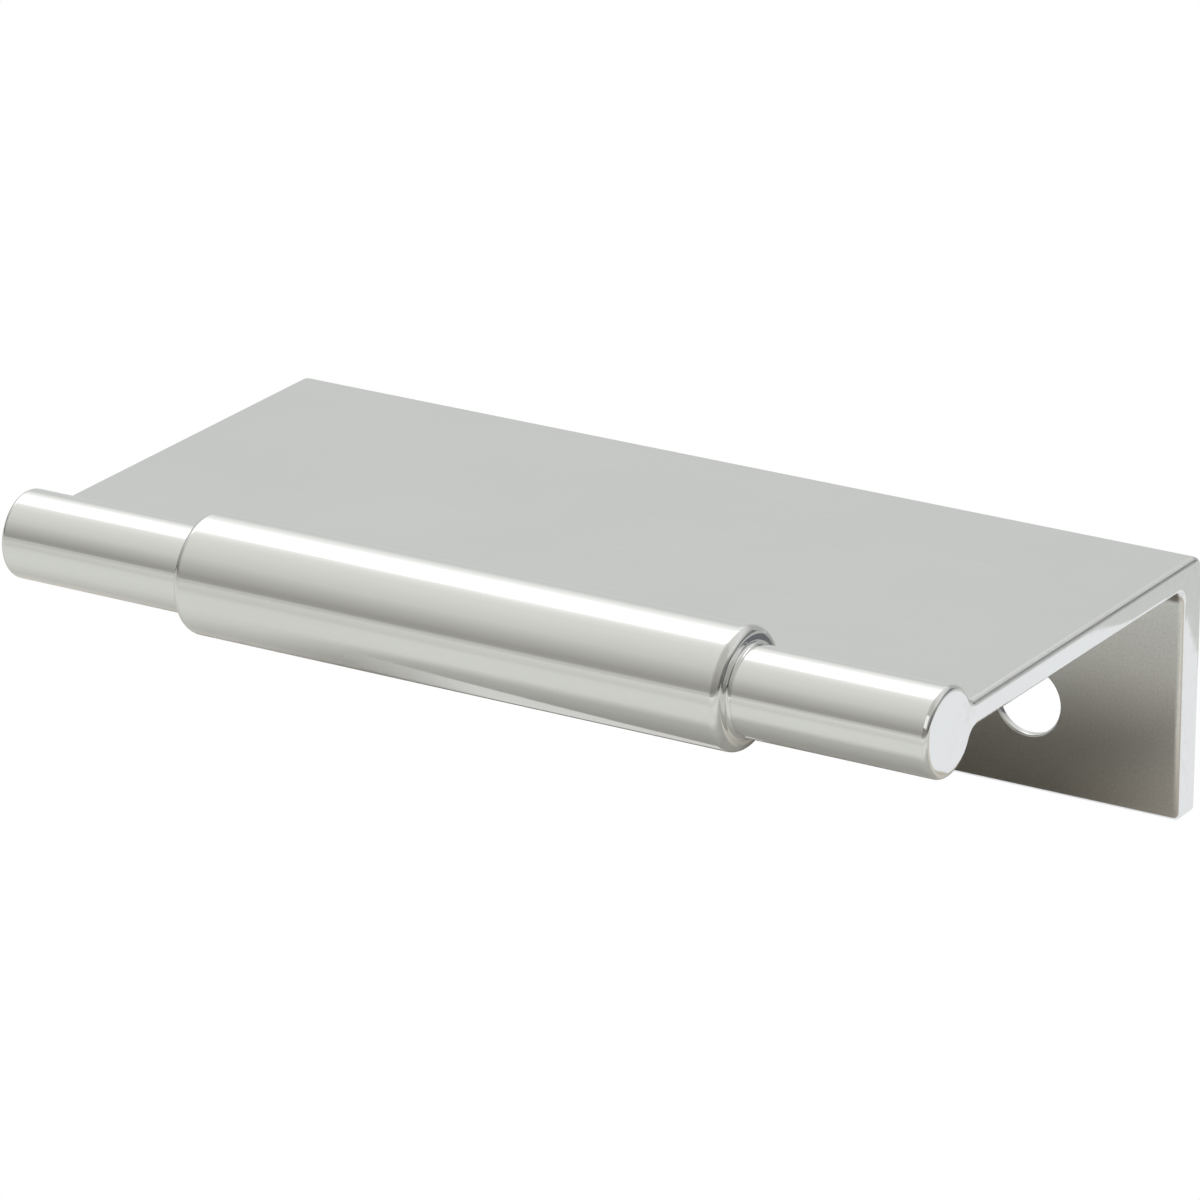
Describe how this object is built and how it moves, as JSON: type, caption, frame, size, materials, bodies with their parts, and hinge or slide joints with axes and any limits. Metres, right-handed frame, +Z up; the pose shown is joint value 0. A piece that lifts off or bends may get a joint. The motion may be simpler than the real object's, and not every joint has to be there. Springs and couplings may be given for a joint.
{
  "type": "tab pull",
  "caption": "Polished metal tab pull: a plate that lies on the edge of a drawer front or door, a screwed flange behind it and a round bar grip in front.",
  "frame": {"origin": "midway between the two screw holes, on the flange face that meets the wood", "axes": "+X along the pull, +Y out of the wood towards the screw heads, +Z up towards the plate"},
  "size_m": [0.0762, 0.0419, 0.023],
  "materials": {
    "polished_chrome": "polished"
  },
  "bodies": {
    "root": {"tab_pull": "polished_chrome"}
  },
  "joints": []
}
